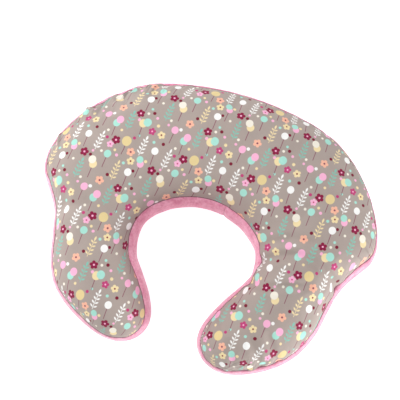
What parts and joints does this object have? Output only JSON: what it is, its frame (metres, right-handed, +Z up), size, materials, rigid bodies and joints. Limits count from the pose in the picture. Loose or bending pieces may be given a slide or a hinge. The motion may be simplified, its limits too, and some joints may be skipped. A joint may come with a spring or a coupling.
{
  "type": "nursing pillow",
  "caption": "C-shaped nursing pillow: stuffed inner pillow in a removable cover with a printed top, plush side band and underside, and a zipper along the back.",
  "frame": {"origin": "on the ground, under the middle of the bounding box", "axes": "+Y towards the closed back of the C, -Y its open mouth, +X along its width, +Z up through its thickness"},
  "size_m": [0.5618, 0.4488, 0.15],
  "materials": {
    "printed_cotton": "plain-woven cotton with a small botanical print",
    "pink_plush": "short-pile plush",
    "pink_velour": "short-pile velour",
    "sewing_thread": "spun polyester thread",
    "zip_tape": "woven tape",
    "zip_coil": "nylon coil",
    "zip_metal": "nickel plated, satin",
    "label_satin": "white woven satin, blank",
    "case_cloth": "plain woven polycotton",
    "divider_cloth": "non-woven sheet",
    "soft_fibre": "loose polyester fibre",
    "firm_fibre": "packed polyester fibre"
  },
  "bodies": {
    "pillow": {"cover_top_panel": "printed_cotton", "cover_bottom_panel": "pink_plush", "cover_band_right": "pink_velour", "cover_band_left": "pink_velour", "zip_strip_upper": "pink_velour", "zip_strip_lower": "pink_velour", "upper_seam_thread": "sewing_thread", "lower_seam_thread": "sewing_thread", "zip_tape_upper": "zip_tape", "zip_tape_lower": "zip_tape", "zip_coil_upper": "zip_coil", "zip_coil_lower": "zip_coil", "zip_top_stops": "zip_metal", "zip_bottom_stop": "zip_metal", "care_label": "label_satin", "case_top": "case_cloth", "case_bottom": "case_cloth", "case_band": "case_cloth", "fill_divider": "divider_cloth", "fill_soft": "soft_fibre", "fill_firm": "firm_fibre"},
    "slider": {"zip_slider": "zip_metal"},
    "pull": {"zip_pull": "zip_metal"}
  },
  "joints": [
    {"name": "zip_slide", "type": "hinge", "parent": "pillow", "child": "slider", "pos_m": [0, -0.2256, 0.072], "axis": [0, 0, 1], "range_deg": [0, 35.3]},
    {"name": "pull_swing", "type": "hinge", "parent": "slider", "child": "pull", "pos_m": [0.13744, 0.20505, 0.072], "axis": [0, 0, -1], "range_deg": [0, 175]}
  ]
}
